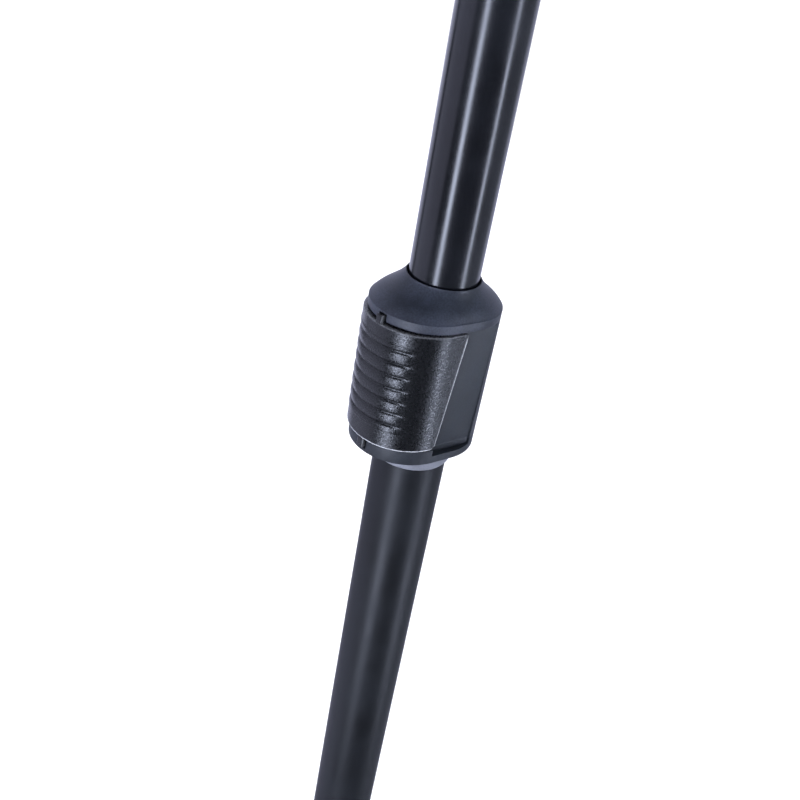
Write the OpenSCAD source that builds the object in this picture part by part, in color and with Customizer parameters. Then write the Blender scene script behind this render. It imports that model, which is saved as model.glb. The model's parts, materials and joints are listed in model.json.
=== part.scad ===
// Music stand: a folded sheet desk on a tilting head, a two-tube mast with a
// squeeze clutch, and three bent legs whose collars swing round the mast.
// Millimetres, +Z up, floor at z = 0, the player stands on the -Y side.

/* [Mast] */
// Outside diameter of the upper tube
upper_d = 25; // [20:0.5:30]
// Wall of the upper tube
upper_wall = 1.5; // [1:0.1:2.5]
// Length of the upper tube
upper_len = 600; // [480:10:760]
// Height of the upper tube's lower end above the floor
upper_z = 330; // [250:10:400]
// Radial gap between the two tubes
tube_gap = 0.75; // [0.6:0.05:1.5]
// Wall of the lower tube
lower_wall = 0.95; // [0.8:0.05:2]
// Radial play of parts that run on a tube
run_play = 0.05; // [0.02:0.01:0.1]
// Length of the liner bush inside the lower tube
liner_len = 40; // [20:1:80]
// Thickness of the liner bush's flange
liner_flange = 2; // [1:0.5:4]
// Length of the bush on the upper tube's lower end
end_bush_len = 24; // [15:1:50]
// Lip of the end bush under the tube's edge
end_bush_lip = 2; // [1:0.5:4]

/* [Clutch] */
// Height of the clutch's reference plane above the floor
clutch_z = 605; // [500:5:700]
// From the lower tube to the clutch's flat side
clutch_side = 5.8; // [5.2:0.1:10]
// Centre of the front half-round, towards the player
clutch_front = 6; // [4:0.5:10]
// Centre of the rear half-round
clutch_rear = 3.5; // [2:0.5:8]
// Top of the cap's lip above the reference plane
cap_top = 19.2; // [16:0.2:26]
// Shoulder of the cap above the reference plane
cap_shoulder = 10.2; // [9:0.2:12]
// Height of the cap's rim band
cap_rim = 3.5; // [2.5:0.1:5]
// Gap between the cap's lip and the upper tube
cap_gap = 0.6; // [0.3:0.05:1.2]
// Thickness of the cap's lip at its top
lip_wall = 0.55; // [0.4:0.05:1.5]
// Wall of the cap
cap_wall = 2.2; // [1.5:0.1:3]
// Lever's bottom edge below the reference plane
lever_bottom = 40.6; // [38:0.2:50]
// Height of the bottom ring
ring_h = 5.6; // [4.5:0.1:8]
// Wall of the squeeze lever
lever_wall = 2.4; // [1.8:0.1:3]
// Gap between the lever's inside and the housing
lever_gap = 0.4; // [0.3:0.05:1]
// Travel of the squeeze lever
lever_travel = 3.5; // [2:0.1:4]
// Rear edge of the lever's wing at its top, forward of the mast's axis
wing_top = 0.5; // [-2:0.5:3]
// Rear edge of the lever's wing at its bottom, forward of the mast's axis
wing_bottom = 5.5; // [2:0.5:8]
// Rear border of the pocket that the wing slides in, behind the axis at its top
pocket_top = 14; // [11:0.2:14]
// The same border at its bottom
pocket_back = 12.2; // [8:0.2:13]
// Depth of the pocket below the lever's bottom edge
pocket_drop = 3; // [2:0.1:4]
// How far the lever stands forward of the cap's rim
lever_proud = 1.5; // [0:0.1:2]
// Seam between lever and cap rim
seam = 0.8; // [0.4:0.1:1.5]
// Pitch of the seven grooves across the lever
groove_pitch = 4.9; // [4:0.1:5.4]
// Uppermost groove below the reference plane
groove_top = 1.5; // [1:0.1:3]
// Depth of a groove
groove_depth = 0.5; // [0.3:0.1:0.9]
// Width of the lever's tabs
tab_w = 2.8; // [2:0.1:6]
// Middle of the tabs to the right of the lever's middle
tab_x = 3.3; // [-4:0.1:4]
// Wall of the housing behind the lever
body_wall = 1.8; // [1.5:0.1:2.4]
// Thickness of a lock plate
plate_t = 3; // [2.5:0.1:3.2]
// Distance from one lock plate to the next
plate_pitch = 6.5; // [6.2:0.1:7]
// Bottom face of the lowest lock plate below the reference plane
plate_low = 19.5; // [19:0.1:20.5]
// Radial clearance of a lock plate's hole round the upper tube
plate_play = 0.45; // [0.4:0.01:0.8]
// Tilt of a lock plate when it grips
plate_tilt = 4; // [3:0.1:5]
// Wire of the plate spring
spring_wire = 1.6; // [1:0.1:2]
// Wire of a lever spring
small_wire = 0.7; // [0.5:0.1:1]
// Height of the tube collar below the bottom ring
collar_h = 7.9; // [3:0.1:12]
// Thickness of the tube collar
collar_wall = 1.3; // [1:0.1:3]

/* [Base] */
// Lower end of the lower tube above the floor
hub_z = 46; // [40:1:70]
// Thickness of the base plug's flange
plug_flange = 4; // [3:0.5:8]
// Length of the base plug inside the tube
plug_len = 24; // [15:1:40]
// How far a leg collar rises above and below its leg tube
collar_rim = 0.9; // [0.7:0.1:3]
// Radius of a leg collar
collar_r = 20; // [18:0.5:26]
// Thickness of a friction washer
washer_t = 1; // [0.8:0.1:2]
// Axial play between a collar and its washers
axial_play = 0.1; // [0.05:0.05:0.3]
// Height of the stop ring above the collars
stop_h = 8; // [6:1:15]
// Outside diameter of a leg tube
leg_d = 19; // [16:0.5:20]
// Wall of a leg tube
leg_wall = 1.2; // [1:0.1:2]
// Reach of a leg from the mast's axis to the middle of its foot
leg_reach = 300; // [240:5:400]
// Bend of a leg
leg_bend = 32; // [25:1:45]
// Radius of the bend, on the tube's axis
bend_r = 60; // [40:5:90]
// Height of a leg tube's end above the floor
leg_end_z = 12; // [11:0.5:16]
// Wall of a rubber boot
boot_wall = 2.5; // [2:0.1:4]
// Length of a rubber boot on the tube
boot_len = 34; // [20:1:60]
// Radius of a boot's flat sole
sole_r = 13; // [12:0.5:18]
// Length of the collar's spigot inside the leg
spigot_len = 30; // [20:1:50]

/* [Head] */
// Outside radius of the head's socket
head_r = 17; // [15.5:0.5:22]
// Depth of the head's socket over the upper tube
socket_depth = 26; // [20:1:40]
// Gap between the tilt knob and the socket's shoulder
knob_gap = 1.5; // [1:0.5:6]
// Width of the head's tongue
tongue_w = 16; // [12:0.5:22]
// Radius of the head's tongue round the pivot
tongue_r = 13; // [11:0.5:16]
// Thickness of a friction disc
disc_t = 1.5; // [1:0.1:3]
// Radius of the pivot bolt
bolt_r = 4; // [3:0.5:6]
// Radius of the tilt knob, over its lobes
knob_r = 20; // [16:1:28]
// Thickness of the tilt knob
knob_t = 16; // [12:1:24]

/* [Desk] */
// Width of the desk
desk_w = 500; // [400:10:600]
// Height of the desk's back panel
desk_h = 340; // [260:10:400]
// Thickness of the desk's sheet
sheet_t = 1.2; // [0.8:0.1:2]
// Depth of the shelf in front of the panel
shelf_d = 60; // [40:1:80]
// Height of the shelf's lip
shelf_lip = 15; // [8:1:25]
// Radius of the desk's top corners
corner_r = 20; // [5:1:50]
// Pivot above the shelf
pivot_up = 130; // [100:5:180]
// From the pivot forward to the panel's back
pivot_back = 28; // [24:1:40]
// Lean of the desk from upright, as stored
desk_lean = 25; // [0:1:60]
// Thickness of the desk bracket
bracket_t = 3; // [2:0.5:5]
// Width of the desk bracket's base
bracket_w = 84; // [70:1:120]
// Height of the desk bracket's base
bracket_h = 60; // [44:1:90]

/* [Hidden] */
$fn = 96;
fit_play = 0.02;
screw_play = 0.1;
upper_r = upper_d / 2;
lower_r = upper_r + tube_gap + lower_wall;
lower_bore = lower_r - lower_wall;
mast_y = -leg_reach / 4;
upper_top = upper_z + upper_len;
clutch_r = lower_r + clutch_side;
body_r = clutch_r - lever_wall - lever_gap;
body_front = clutch_front - lever_travel - lever_gap + 0.1;
cavity_r = body_r - body_wall;
cavity_rear = clutch_rear - 0.9;
lever_in_r = clutch_r - lever_wall;
lever_front = clutch_front + lever_proud;
cap_base = cap_shoulder - cap_rim;
lever_top = cap_base - seam;
ring_top = -lever_bottom - 0.4;
ring_bottom = ring_top - ring_h;
lower_tube_top = ring_top + 15;
liner_top = lower_tube_top + liner_flange;
sleeve_top = lower_tube_top - 2;
plate_fit = 0.5;
plate_r = cavity_r - plate_fit;
plate_front = body_front - 0.2;
fulcrum = cavity_rear + plate_r - 0.5;
plate_nose = plate_front + plate_r;
plate_drop = (fulcrum + plate_nose) * sin(plate_tilt);
tooth_gap = 0.3;
plates_top = -plate_low + 2 * plate_pitch + plate_t;
tab_gap = 0.4;
tab_side = abs(tab_x) + tab_w / 2;
tab_in = lever_front + sqrt(pow(lever_in_r, 2) - pow(tab_side, 2));
tab_low = -lever_bottom - 4.4;
lug_len = 3;
lug_h = 3;
LUG_HEIGHTS = [lever_top - 6, lever_top - 15];
wedge_w = 12;
groove_count = 7;
screw_r = 1.25;
screw_x = 7;
screw_y = cavity_rear + sqrt(pow(cavity_r, 2) - pow(screw_x, 2)) + 2.6;
collar_height = leg_d + 2 * collar_rim;
level_pitch = collar_height + 2 * axial_play + washer_t;
first_level = hub_z + washer_t + axial_play + collar_height / 2;
stop_z = hub_z + 3 * level_pitch + washer_t;
leg_r = leg_d / 2;
leg_sides = 24;
bend_steps = 6;
leg_start = collar_r + 6;
leg_screw_x = leg_start + 14;
spigot_r = leg_r - leg_wall - screw_play;
m4_r = 2;
m4_head_r = 3.6;
m4_key_r = 1.3;
m6_r = 3;
m6_head_r = 5.5;
m6_key_r = 2.6;
socket_top = upper_top + 12;
socket_bevel = 3;
pivot_z = socket_top + knob_gap + knob_r;
ear_x = tongue_w / 2 + 2 * axial_play + disc_t;
ear_out = ear_x + bracket_t;
nut_t = 6.5;
bolt_end = 8;
hub_of_knob_r = 9;
hub_of_knob_t = 6;
lobe_r = 6;
rivet_r = 2.4;
rivet_head_r = 4;
rivet_head_t = 1.8;
sink = sheet_t - 0.1;
rivet_x = bracket_w / 2 - 9;
rivet_z = bracket_h / 2 - 12;
LEG_ANGLES = [90, 210, 330];

// ---- helpers ----

// A tube from height a to height b on the mast's axis
module ring(r_out, r_in, a, b) {
    translate([0, mast_y, a])
        difference() {
            cylinder(r = r_out, h = b - a);
            translate([0, 0, -1]) cylinder(r = r_in, h = b - a + 2);
        }
}

// Two half-rounds of one radius and the straight sides between them
module oval(r, front, rear) {
    translate([0, -front]) circle(r);
    translate([0, rear]) circle(r);
    translate([-r, -front]) square([2 * r, front + rear]);
}

module oval_block(r, front, rear, a, b) {
    translate([0, 0, a]) linear_extrude(b - a) oval(r, front, rear);
}

module at_clutch() {
    translate([0, mast_y, clutch_z]) children();
}

// Everything forward of a slanted line at the lever's rear, seen from the side
module wing_side(back_top, back_bottom) {
    far = clutch_front + clutch_r + 10;
    over = 20;
    slope = (back_top - back_bottom) / (lever_top + lever_bottom);
    low = -lever_bottom - over;
    high = lever_top + over;
    rotate([90, 0, -90])
        linear_extrude(4 * clutch_r, center = true)
            polygon([
                [back_bottom - over * slope, low], [far, low],
                [far, high], [back_top + over * slope, high]
            ]);
}

// A coil along +Z: rings of points swept round a helix
function coil_points(r, wire, len, turns, per_turn, sides) = [
    for (i = [0 : turns * per_turn])
        let (a = 360 * i / per_turn, z = len * i / (turns * per_turn))
            for (k = [0 : sides - 1])
                let (b = 360 * k / sides, q = r + wire / 2 * cos(b))
                    [q * cos(a), q * sin(a), z + wire / 2 * sin(b)]
];

function coil_faces(rings, sides) = concat(
    [[for (k = [0 : sides - 1]) k]],
    [
        for (i = [0 : rings - 2], k = [0 : sides - 1])
            let (n = (k + 1) % sides, a = i * sides, b = a + sides)
                [a + k, b + k, b + n, a + n]
    ],
    [[for (k = [sides - 1 : -1 : 0]) (rings - 1) * sides + k]]
);

module coil(r, wire, len, turns, per_turn, sides) {
    polyhedron(
        points = coil_points(r, wire, len - wire, turns, per_turn, sides),
        faces = coil_faces(turns * per_turn + 1, sides),
        convexity = 10
    );
}

// ---- mast ----

module lower_tube() {
    color("#24262b") difference() {
        ring(lower_r, lower_bore, hub_z, clutch_z + lower_tube_top);
        at_clutch() translate([0, 0, (sleeve_top + ring_top) / 2])
            rotate([-90, 0, 0]) cylinder(r = 2.6, h = lower_r + 5);
    }
}

module liner_bush() {
    top = clutch_z + liner_top;
    seat = clutch_z + lower_tube_top;
    bore = upper_r + run_play;
    color("#3a3d42") union() {
        ring(lower_bore - 0.02, bore, seat - liner_len, seat);
        ring(lower_r, bore, seat, top);
    }
}

module upper_tube() {
    color("#24262b") ring(upper_r, upper_r - upper_wall, upper_z, upper_top);
}

module tube_end_bush() {
    base = upper_z - end_bush_lip - axial_play;
    r_out = lower_bore - run_play;
    color("#3a3d42") union() {
        ring(r_out, upper_r - upper_wall, base, base + end_bush_lip);
        ring(r_out, upper_r + run_play, base + end_bush_lip, base + end_bush_len);
    }
}

// ---- clutch ----

// The space in which the lever and its wings travel
module lever_room(a, b) {
    difference() {
        intersection() {
            oval_block(clutch_r + 5, clutch_front + 5, clutch_rear, a, b);
            wing_side(-pocket_top, -pocket_back);
        }
        oval_block(body_r, body_front, clutch_rear + 10, a - 1, b + 1);
    }
}

module plate_space() {
    oval_block(cavity_r, body_front, cavity_rear, sleeve_top, cap_base + 1);
}

module lever_spring_seats(r, from, to) {
    for (side = [-1, 1])
        translate([side * wedge_w / 2, -from, (sleeve_top + ring_top) / 2])
            rotate([90, 0, 0]) cylinder(r = r, h = to - from);
}

// Slots in the housing's sides for the lever's lugs and their travel
module guide_slots() {
    for (side = [-1, 1], z = LUG_HEIGHTS)
        translate([
            side * (cavity_r + body_r + 1) / 2, -clutch_front - 2 + lever_travel / 2, z
        ]) cube([
            body_r - cavity_r + 2 * lever_gap,
            lug_len + lever_travel + 2 * lever_gap,
            lug_h + 2 * lever_gap
        ], center = true);
}

module screw_holes(r, a, b) {
    for (side = [-1, 1])
        translate([side * screw_x, screw_y, a]) cylinder(r = r, h = b - a);
}

module grub_axis(r, a, b) {
    translate([0, a, (sleeve_top + ring_top) / 2])
        rotate([-90, 0, 0]) cylinder(r = r, h = b - a);
}

module clutch_housing() {
    window = wedge_w + 2;
    color("#2a2d35") at_clutch() difference() {
        oval_block(clutch_r, clutch_front, clutch_rear, ring_top, cap_base);
        lever_room(ring_top - 1, cap_base + 1);
        plate_space();
        translate([0, 0, ring_top - 1])
            cylinder(r = lower_r + run_play, h = sleeve_top - ring_top + 2);
        translate([-window / 2, -body_front - body_r - 1, -plate_low - plate_pitch + plate_t - 1])
            cube([window, body_r, plates_top + plate_low + plate_pitch - plate_t + 2]);
        lever_spring_seats(3, lower_r + 0.4, body_front + body_r + 1);
        guide_slots();
        screw_holes(screw_r + 0.02, ring_top - 1, cap_base + 1);
        grub_axis(2.52, lower_r - 1, clutch_rear + clutch_r + 1);
    }
    color("#2a2d35") at_clutch() for (i = [0 : 2])
        translate([0, 0, i * plate_pitch - plate_low - 1.5]) plate_ledge();
}

// The ledge under the rear end of a lock plate
module plate_ledge() {
    intersection() {
        translate([-6, fulcrum - 0.5, 0]) cube([12, 6, 1.2]);
        oval_block(cavity_r + 0.3, body_front, cavity_rear, -1, 3);
    }
}

// Room for a tab and its travel
module tab_notch(a, b) {
    translate([tab_x - tab_w / 2 - tab_gap, -tab_in - 10, a])
        cube([tab_w + 2 * tab_gap, lever_travel + tab_gap + 10, b - a]);
}

module clutch_cap() {
    lip_r = upper_r + cap_gap + lip_wall;
    slab = 0.2;
    color("#2a2d35") at_clutch() difference() {
        union() {
            oval_block(clutch_r, clutch_front, clutch_rear, cap_base, cap_shoulder);
            hull() {
                oval_block(clutch_r - 0.6, clutch_front, clutch_rear, cap_shoulder - slab, cap_shoulder);
                translate([0, 0, cap_top - 1.2]) cylinder(r = lip_r, h = 0.2);
            }
            translate([0, 0, cap_top - 1.2]) cylinder(r = lip_r, h = 1.2);
        }
        difference() {
            hull() {
                oval_block(
                    clutch_r - cap_wall, clutch_front - 2, clutch_rear,
                    cap_base - 1, cap_shoulder - 0.4
                );
                translate([0, 0, cap_top - 5]) cylinder(r = lip_r + 0.6, h = 0.2);
            }
            screw_holes(3, cap_base - 2, cap_shoulder - 0.4);
        }
        translate([0, 0, cap_base - 1]) cylinder(r = upper_r + cap_gap, h = cap_top);
        screw_holes(screw_r + 0.02, cap_base - 1, cap_shoulder - 1.4);
        tab_notch(cap_base - 1, cap_shoulder - 0.4);
    }
}

module clutch_bottom_ring() {
    color("#2a2d35") at_clutch() difference() {
        oval_block(clutch_r, clutch_front, clutch_rear, ring_bottom, ring_top);
        translate([0, 0, ring_bottom - 1])
            cylinder(r = lower_r + run_play, h = ring_h + 2);
        translate([0, 0, -lever_bottom - pocket_drop]) difference() {
            translate([-50, -clutch_front, 0]) cube([100, clutch_front + pocket_back, 50]);
            oval_block(body_r, clutch_front, clutch_rear + 10, -1, 51);
        }
        tab_notch(tab_low - tab_gap, ring_top + 1);
        screw_holes(screw_r + 0.15, ring_bottom - 1, ring_top + 1);
        screw_holes(2.7, ring_bottom - 1, ring_bottom + 2.2);
    }
}

module tube_collar() {
    top = clutch_z + ring_bottom;
    r = lower_r + collar_wall;
    color("#9fa3a8") translate([0, mast_y, top - collar_h]) difference() {
        union() {
            cylinder(r1 = r - 0.6, r2 = r, h = 1);
            translate([0, 0, 1]) cylinder(r = r, h = collar_h - 1);
        }
        translate([0, 0, -1]) cylinder(r = lower_r + run_play, h = collar_h + 2);
    }
}

module squeeze_lever() {
    color("#1c1e22") at_clutch() {
        difference() {
            intersection() {
                oval_block(clutch_r, lever_front, clutch_rear, -lever_bottom, lever_top);
                wing_side(wing_top, wing_bottom);
            }
            oval_block(lever_in_r, lever_front, clutch_rear + 10, -lever_bottom - 1, lever_top + 1);
            for (i = [0 : groove_count - 1])
                translate([0, -lever_front, -groove_top - i * groove_pitch])
                    lever_groove();
        }
        lever_tab(lever_top - 1, cap_shoulder - 1);
        lever_tab(tab_low, 1 - lever_bottom);
        guide_lugs();
    }
}

// A tab that keeps the lever square in a notch of the cap or the bottom ring
module lever_tab(a, b) {
    intersection() {
        translate([tab_x - tab_w / 2, -2 * clutch_r - lever_front, a])
            cube([tab_w, 2 * clutch_r, b - a]);
        difference() {
            oval_block(clutch_r - 0.1, lever_front, 0, a, b);
            oval_block(lever_in_r, lever_front, 1, a - 1, b + 1);
        }
    }
}

// A shallow trough round the lever's front
module lever_groove() {
    intersection() {
        difference() {
            translate([0, 0, -0.6]) cylinder(r = clutch_r + 1, h = 1.2);
            translate([0, 0, -1]) cylinder(r = clutch_r - groove_depth, h = 2);
        }
        translate([-clutch_r, -clutch_r - 2, -2]) cube([2 * clutch_r, clutch_r * 0.4 + 2, 4]);
    }
}

module guide_lugs() {
    for (side = [-1, 1], z = LUG_HEIGHTS)
        translate([side * (cavity_r + lever_in_r + 0.6) / 2, -clutch_front - 2, z])
            cube([lever_in_r - cavity_r, lug_len, lug_h], center = true);
}

// The comb behind the lever whose ramps lift the lock plates' front edges
module release_comb() {
    rise = plate_drop / lever_travel;
    tip = plate_nose - 0.2;
    back = plate_nose + lever_travel + tooth_gap;
    wall = lever_front + sqrt(pow(lever_in_r, 2) - pow(wedge_w / 2, 2));
    color("#2b2d30") at_clutch() rotate([90, 0, -90])
        linear_extrude(wedge_w, center = true) union() {
            for (i = [0 : 2]) {
                under = i * plate_pitch - plate_low;
                floor_z = under - plate_pitch + plate_t + tooth_gap;
                tip_z = under - tooth_gap - rise * (back - tooth_gap - tip);
                polygon([
                    [tip, floor_z], [back + 0.5, floor_z], [back + 0.5, under - tooth_gap],
                    [back - tooth_gap, under - tooth_gap], [tip, max(tip_z, floor_z + 0.2)]
                ]);
            }
            translate([back, -plate_low - plate_pitch + plate_t + tooth_gap])
                square([wall - back, plates_top + plate_low + plate_pitch - plate_t - 2 * tooth_gap]);
        }
}

// A lock plate, tilted about the ledge under its rear end
module lock_plate(i) {
    color("#8d9196") at_clutch()
        translate([0, fulcrum, i * plate_pitch - plate_low])
            rotate([plate_tilt, 0, 0]) translate([0, -fulcrum, 0]) difference() {
                oval_block(plate_r, plate_front, cavity_rear, 0, plate_t);
                translate([0, 0, -1]) cylinder(r = upper_r + plate_play, h = plate_t + 2);
            }
}

module lock_plate_top() {
    lock_plate(2);
}

module lock_plate_middle() {
    lock_plate(1);
}

module lock_plate_bottom() {
    lock_plate(0);
}

module plate_spring() {
    base = plates_top + 0.3 + spring_wire / 2;
    ceiling = cap_top - 5.3;
    color("#7d8288") at_clutch() translate([0, 0, base])
        coil(upper_r + 1 + spring_wire / 2, spring_wire, ceiling - plates_top - 0.3, 4, 20, 8);
}

module lever_springs() {
    from = lower_r + 0.5;
    to = lever_front + sqrt(pow(lever_in_r, 2) - pow(wedge_w / 2 + 2.4, 2)) - 0.1;
    color("#7d8288") at_clutch() for (side = [-1, 1])
        translate([side * wedge_w / 2, -from - small_wire / 2, (sleeve_top + ring_top) / 2])
            rotate([90, 0, 0]) coil(2, small_wire, to - from, 4, 10, 6);
}

module clutch_screws() {
    color("#8d9196") at_clutch() {
        screw_holes(screw_r, ring_bottom + 0.4, cap_shoulder - 2);
        difference() {
            screw_holes(2.5, ring_bottom + 0.2, ring_bottom + 2.2);
            for (side = [-1, 1])
                translate([side * screw_x, screw_y, ring_bottom])
                    cylinder(r = 1.3, h = 1.3, $fn = 6);
        }
    }
}

module housing_grub_screw() {
    end = clutch_rear + clutch_r - 1;
    color("#8d9196") at_clutch() difference() {
        grub_axis(2.5, lower_bore + 0.1, end);
        translate([0, end + 0.1, (sleeve_top + ring_top) / 2])
            rotate([90, 0, 0]) cylinder(r = 1.4, h = 3, $fn = 6);
    }
}

// ---- base ----

module base_plug() {
    color("#1f2124") translate([0, mast_y, hub_z - plug_flange]) difference() {
        union() {
            cylinder(r = collar_r, h = plug_flange);
            cylinder(r = lower_bore - 0.02, h = plug_flange + plug_len);
        }
        translate([0, 0, -1]) cylinder(r = m6_r + screw_play, h = plug_flange + plug_len + 2);
        translate([0, 0, -1]) cylinder(r = m6_head_r + 0.7, h = plug_flange - 0.5);
    }
}

module base_bolt() {
    color("#8d9196") translate([0, mast_y, hub_z - plug_flange]) difference() {
        union() {
            cylinder(r = m6_head_r, h = plug_flange - 1.5);
            cylinder(r = m6_r, h = plug_flange + plug_len + 8);
        }
        translate([0, 0, -1]) cylinder(r = m6_key_r, h = 3, $fn = 6);
    }
}

module base_nut() {
    color("#8d9196") translate([0, mast_y, hub_z + plug_len]) difference() {
        cylinder(r = m6_head_r + 0.3, h = 5, $fn = 6);
        translate([0, 0, -1]) cylinder(r = m6_r + fit_play, h = 7);
    }
}

// The collar on one level, its boss and the spigot that carries the leg
module leg_collar(level) {
    boss_r = leg_r + 0.6;
    color("#1f2124") translate([0, mast_y, level_z(level)]) rotate([0, 0, LEG_ANGLES[level]])
        difference() {
            union() {
                cylinder(r = collar_r, h = collar_height, center = true);
                rotate([0, 90, 0]) cylinder(r = boss_r, h = leg_start);
                rotate([0, 90, 0]) cylinder(r = spigot_r, h = leg_start + spigot_len);
            }
            cylinder(r = lower_r + run_play, h = collar_height + 2, center = true);
            translate([leg_screw_x, 0, -leg_r]) cylinder(r = m4_r + screw_play, h = 12);
        }
}

module rear_collar() {
    leg_collar(0);
}

module left_collar() {
    leg_collar(1);
}

module right_collar() {
    leg_collar(2);
}

module friction_washers() {
    color("#c9c5b8") for (i = [0 : 3])
        ring(
            collar_r - 1, lower_r + run_play,
            hub_z + i * level_pitch, hub_z + i * level_pitch + washer_t
        );
}

module stop_ring() {
    color("#1f2124") difference() {
        ring(collar_r - 2, lower_r + run_play, stop_z, stop_z + stop_h);
        translate([0, mast_y, stop_z + stop_h / 2])
            rotate([-90, 0, 0]) cylinder(r = m4_r + fit_play, h = collar_r);
    }
}

module stop_grub_screw() {
    color("#8d9196") translate([0, mast_y + lower_r + fit_play, stop_z + stop_h / 2])
        rotate([-90, 0, 0]) difference() {
            cylinder(r = m4_r, h = collar_r - lower_r - 2.6);
            translate([0, 0, 1.5]) cylinder(r = m4_key_r, h = 9, $fn = 6);
        }
}

// The middle of a leg's collar above the floor
function level_z(level) = first_level + level * level_pitch;

// Stations along a leg's centre line: distance out, height above the collar's
// middle, and slope below level
function leg_stations(level) =
    let (
        drop = level_z(level) - leg_end_z - bend_r * (1 - cos(leg_bend)),
        slant = drop / sin(leg_bend),
        bend_x = leg_reach - bend_r * sin(leg_bend) - slant * cos(leg_bend)
    )
    concat(
        [[leg_start, 0, 0]],
        [
            for (i = [0 : bend_steps])
                let (a = leg_bend * i / bend_steps)
                    [bend_x + bend_r * sin(a), bend_r * (cos(a) - 1), a]
        ],
        [[leg_reach, leg_end_z - level_z(level), leg_bend]]
    );

// A circle of points round each station
function tube_points(stations, r) = [
    for (s = stations, k = [0 : leg_sides - 1])
        let (b = 360 * k / leg_sides, up = r * sin(b))
            [s[0] + up * sin(s[2]), r * cos(b), s[1] + up * cos(s[2])]
];

// A hollow tube's faces: outside, inside and the two ends
function tube_faces(rings) =
    let (inner = rings * leg_sides, last = (rings - 1) * leg_sides)
    concat(
        [
            for (i = [0 : rings - 2], k = [0 : leg_sides - 1])
                let (n = (k + 1) % leg_sides, a = i * leg_sides, b = a + leg_sides)
                    [a + k, a + n, b + n, b + k]
        ],
        [
            for (i = [0 : rings - 2], k = [0 : leg_sides - 1])
                let (n = (k + 1) % leg_sides, a = inner + i * leg_sides, b = a + leg_sides)
                    [a + k, b + k, b + n, a + n]
        ],
        [
            for (k = [0 : leg_sides - 1])
                let (n = (k + 1) % leg_sides)
                    [k, inner + k, inner + n, n]
        ],
        [
            for (k = [0 : leg_sides - 1])
                let (n = (k + 1) % leg_sides, b = inner + last)
                    [last + k, last + n, b + n, b + k]
        ]
    );

// A leg tube: straight out from its collar, round the bend and down to the floor
module leg(level) {
    stations = leg_stations(level);
    color("#24262b") translate([0, mast_y, level_z(level)])
        rotate([0, 0, LEG_ANGLES[level]]) difference() {
            polyhedron(
                points = concat(
                    tube_points(stations, leg_r), tube_points(stations, leg_r - leg_wall)
                ),
                faces = tube_faces(len(stations)),
                convexity = 6
            );
            translate([leg_screw_x, 0, -leg_r - 1]) cylinder(r = m4_r + screw_play, h = 5);
        }
}

module rear_leg() {
    leg(0);
}

module left_leg() {
    leg(1);
}

module right_leg() {
    leg(2);
}

// A rubber boot on the end of a leg, with a flat sole on the floor
module boot(level) {
    color("#151617") translate([0, mast_y, 0]) rotate([0, 0, LEG_ANGLES[level]])
        difference() {
            union() {
                translate([leg_reach, 0, leg_end_z]) rotate([0, 90 + leg_bend, 0])
                    translate([0, 0, 4 - boot_len])
                        cylinder(r = leg_r + boot_wall, h = boot_len);
                translate([leg_reach, 0, 0]) cylinder(r = sole_r, h = leg_end_z);
            }
            translate([leg_reach, 0, leg_end_z]) rotate([0, 90 + leg_bend, 0])
                translate([0, 0, -boot_len - 1]) cylinder(r = leg_r + run_play, h = boot_len + 1);
            translate([leg_reach - 50, -50, -20]) cube([100, 100, 20]);
        }
}

module rear_boot() {
    boot(0);
}

module left_boot() {
    boot(1);
}

module right_boot() {
    boot(2);
}

// The screw from below that holds a leg on its spigot
module leg_screw(level) {
    color("#8d9196") translate([0, mast_y, level_z(level)]) rotate([0, 0, LEG_ANGLES[level]])
        translate([leg_screw_x, 0, -leg_r]) difference() {
            union() {
                translate([0, 0, -1.2]) cylinder(r = m4_head_r, h = 1.2);
                cylinder(r = m4_r, h = 10);
            }
            translate([0, 0, -2]) cylinder(r = m4_key_r, h = 2.5, $fn = 6);
        }
}

module rear_leg_screw() {
    leg_screw(0);
}

module left_leg_screw() {
    leg_screw(1);
}

module right_leg_screw() {
    leg_screw(2);
}

// ---- head ----

module head_socket() {
    color("#1f2124") translate([0, mast_y, 0]) difference() {
        union() {
            translate([0, 0, upper_top - socket_depth])
                cylinder(r = head_r, h = socket_top - upper_top + socket_depth - socket_bevel);
            translate([0, 0, socket_top - socket_bevel])
                cylinder(r1 = head_r, r2 = head_r - socket_bevel, h = socket_bevel);
            translate([-tongue_w / 2, -tongue_r, socket_top - 1])
                cube([tongue_w, 2 * tongue_r, pivot_z - socket_top + 1]);
            translate([-tongue_w / 2, 0, pivot_z])
                rotate([0, 90, 0]) cylinder(r = tongue_r, h = tongue_w);
        }
        translate([0, 0, upper_top - socket_depth - 1])
            cylinder(r = upper_r + fit_play, h = socket_depth + 1);
        translate([-tongue_w, 0, pivot_z])
            rotate([0, 90, 0]) cylinder(r = bolt_r + run_play, h = 2 * tongue_w);
        translate([0, 0, upper_top - socket_depth / 2])
            rotate([-90, 0, 0]) cylinder(r = m4_r + run_play, h = head_r + 1);
    }
}

module head_screw() {
    color("#8d9196") translate([0, mast_y + upper_r + 0.1, upper_top - socket_depth / 2])
        rotate([-90, 0, 0]) difference() {
            union() {
                cylinder(r = m4_r, h = head_r - upper_r);
                translate([0, 0, head_r - upper_r]) cylinder(r = m4_head_r, h = 1.6);
            }
            translate([0, 0, head_r - upper_r + 0.4]) cylinder(r = m4_key_r, h = 3, $fn = 6);
        }
}

module friction_discs() {
    color("#c9c5b8") for (side = [-1, 1])
        translate([side * (tongue_w + disc_t) / 2 + side * axial_play, mast_y, pivot_z])
            rotate([0, 90, 0]) difference() {
                cylinder(r = tongue_r - 1, h = disc_t, center = true);
                cylinder(r = bolt_r + run_play, h = 2 * disc_t, center = true);
            }
}

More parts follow.
